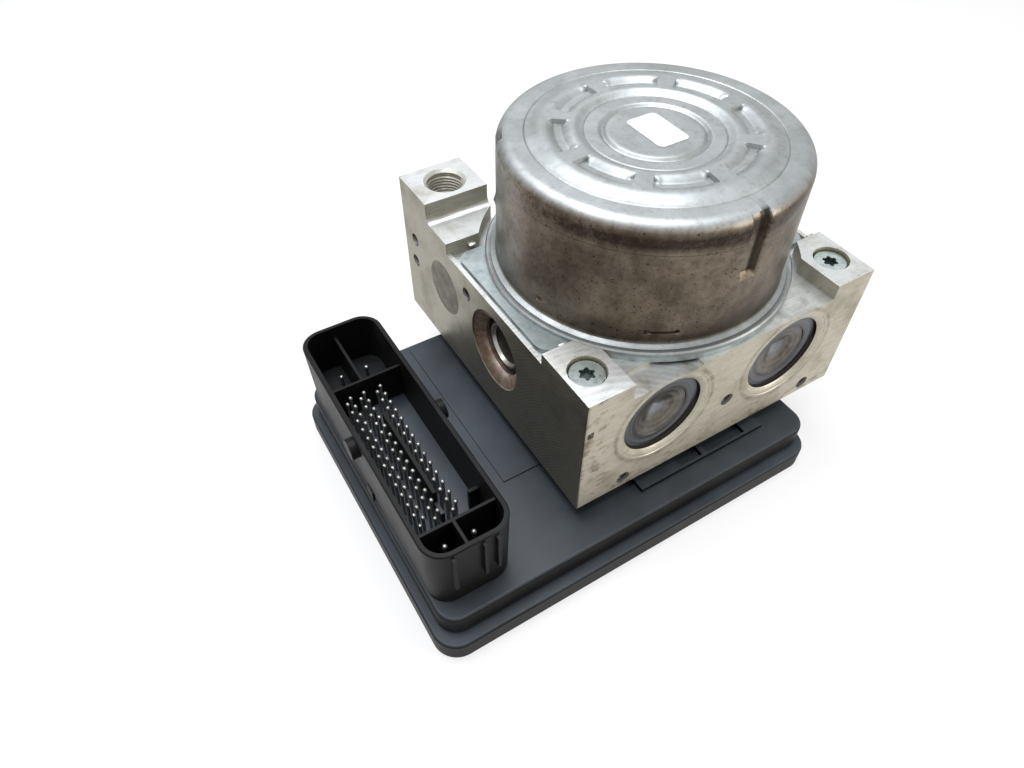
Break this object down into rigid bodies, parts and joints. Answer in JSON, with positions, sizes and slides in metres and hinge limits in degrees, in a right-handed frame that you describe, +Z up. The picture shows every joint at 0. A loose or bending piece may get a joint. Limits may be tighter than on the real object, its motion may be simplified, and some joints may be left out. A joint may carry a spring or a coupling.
{
  "type": "abs brake module",
  "caption": "Anti-lock brake unit: milled aluminium valve block with pump motor on top and black electronic control unit with connector below.",
  "frame": {"origin": "on the motor's axis, at the flat underside of the control unit's lid", "axes": "+Z up the motor axis, +X from the connector towards the valve block, -Y towards the face with the accumulator caps"},
  "size_m": [0.1428, 0.112, 0.0958],
  "materials": {
    "block_aluminium": "milled",
    "can_steel": "zinc plated, satin",
    "flange_steel": "zinc plated",
    "label_white": "matte",
    "ferrite": "ground ferrite",
    "bronze": "sintered",
    "hard_steel": "ground",
    "core_steel": "stamped stack",
    "copper_wire": "enamelled copper",
    "brown_plastic": "moulded",
    "cage_plastic": "moulded",
    "carbon": "pressed carbon",
    "spring_steel": "drawn wire",
    "tin_plated": "tin plated",
    "plug_steel": "turned",
    "plug_aluminium": "turned",
    "zinc_steel": "zinc plated",
    "valve_steel": "turned",
    "coil_plastic": "overmoulded",
    "board_green": "solder resist",
    "chip_black": "moulded",
    "lid_plastic": "moulded",
    "housing_plastic": "moulded",
    "seal_rubber": "moulded",
    "cap_steel": "phosphated, blue grey",
    "piston_plastic": "moulded"
  },
  "bodies": {
    "unit": {"hydraulic_block": "block_aluminium", "motor_can": "can_steel", "motor_flange": "flange_steel", "motor_label": "label_white", "motor_magnets": "ferrite", "upper_bush": "bronze", "bearing_outer_race": "hard_steel", "brush_plate": "brown_plastic", "motor_brushes": "carbon", "brush_springs": "spring_steel", "terminal_stalk": "brown_plastic", "motor_terminals": "tin_plated", "drilling_plugs": "plug_steel", "damper_plugs": "plug_aluminium", "pad_screws": "zinc_steel", "inlet_valves": "valve_steel", "outlet_valves": "valve_steel", "isolation_valves": "valve_steel", "priming_valves": "valve_steel", "solenoid_coils": "coil_plastic", "coil_yokes": "zinc_steel", "pressure_sensor": "valve_steel", "circuit_board": "board_green", "board_components": "chip_black", "unit_lid": "lid_plastic", "unit_housing": "housing_plastic", "housing_seal": "seal_rubber", "housing_screws": "zinc_steel", "signal_pins": "tin_plated", "power_pins": "tin_plated", "pump_sleeve_left": "plug_steel", "pump_spring_left": "spring_steel", "pump_plug_left": "plug_steel", "accumulator_cap_left": "cap_steel", "accumulator_spring_left": "spring_steel", "pump_sleeve_right": "plug_steel", "pump_spring_right": "spring_steel", "pump_plug_right": "plug_steel", "accumulator_cap_right": "cap_steel", "accumulator_spring_right": "spring_steel"},
    "rotor": {"motor_shaft": "hard_steel", "armature_core": "core_steel", "armature_windings": "copper_wire", "commutator": "copper_wire", "bearing_inner_race": "hard_steel"},
    "ball_set": {"bearing_balls": "hard_steel", "bearing_cage": "cage_plastic"},
    "drive_ring": {"drive_ring": "hard_steel"},
    "pump_piston_left": {"pump_piston_left": "hard_steel"},
    "accumulator_piston_left": {"accumulator_piston_left": "piston_plastic", "accumulator_seal_left": "seal_rubber"},
    "pump_piston_right": {"pump_piston_right": "hard_steel"},
    "accumulator_piston_right": {"accumulator_piston_right": "piston_plastic", "accumulator_seal_right": "seal_rubber"}
  },
  "joints": [
    {"name": "rotor_spin", "type": "hinge", "parent": "unit", "child": "rotor", "pos_m": [0, 0, 0.06], "axis": [0, 0, 1], "continuous": true},
    {"name": "ball_set_spin", "type": "hinge", "parent": "unit", "child": "ball_set", "pos_m": [0, 0, 0.053], "axis": [0, 0, 1], "continuous": true},
    {"name": "drive_ring_spin", "type": "hinge", "parent": "rotor", "child": "drive_ring", "pos_m": [0.00125, 0, 0.0415], "axis": [0, 0, 1], "continuous": true},
    {"name": "pump_piston_left_slide", "type": "slide", "parent": "unit", "child": "pump_piston_left", "axis": [-1, 0, 0], "range_m": [0, 0.0025], "stiffness_N_per_m": 300, "springref_m": -0.004, "deforming": ["pump_spring_left"]},
    {"name": "accumulator_left_slide", "type": "slide", "parent": "unit", "child": "accumulator_piston_left", "axis": [0, -1, 0], "range_m": [0, 0.008], "stiffness_N_per_m": 200, "springref_m": -0.01, "deforming": ["accumulator_spring_left"]},
    {"name": "pump_piston_right_slide", "type": "slide", "parent": "unit", "child": "pump_piston_right", "axis": [1, 0, 0], "range_m": [0, 0.0025], "stiffness_N_per_m": 300, "springref_m": -0.004, "deforming": ["pump_spring_right"]},
    {"name": "accumulator_right_slide", "type": "slide", "parent": "unit", "child": "accumulator_piston_right", "axis": [0, -1, 0], "range_m": [0, 0.008], "stiffness_N_per_m": 200, "springref_m": -0.01, "deforming": ["accumulator_spring_right"]}
  ],
  "couplings": [
    {"joint": "ball_set_spin", "follows": "rotor_spin", "ratio": 0.41333},
    {"joint": "drive_ring_spin", "follows": "rotor_spin", "ratio": -1}
  ]
}
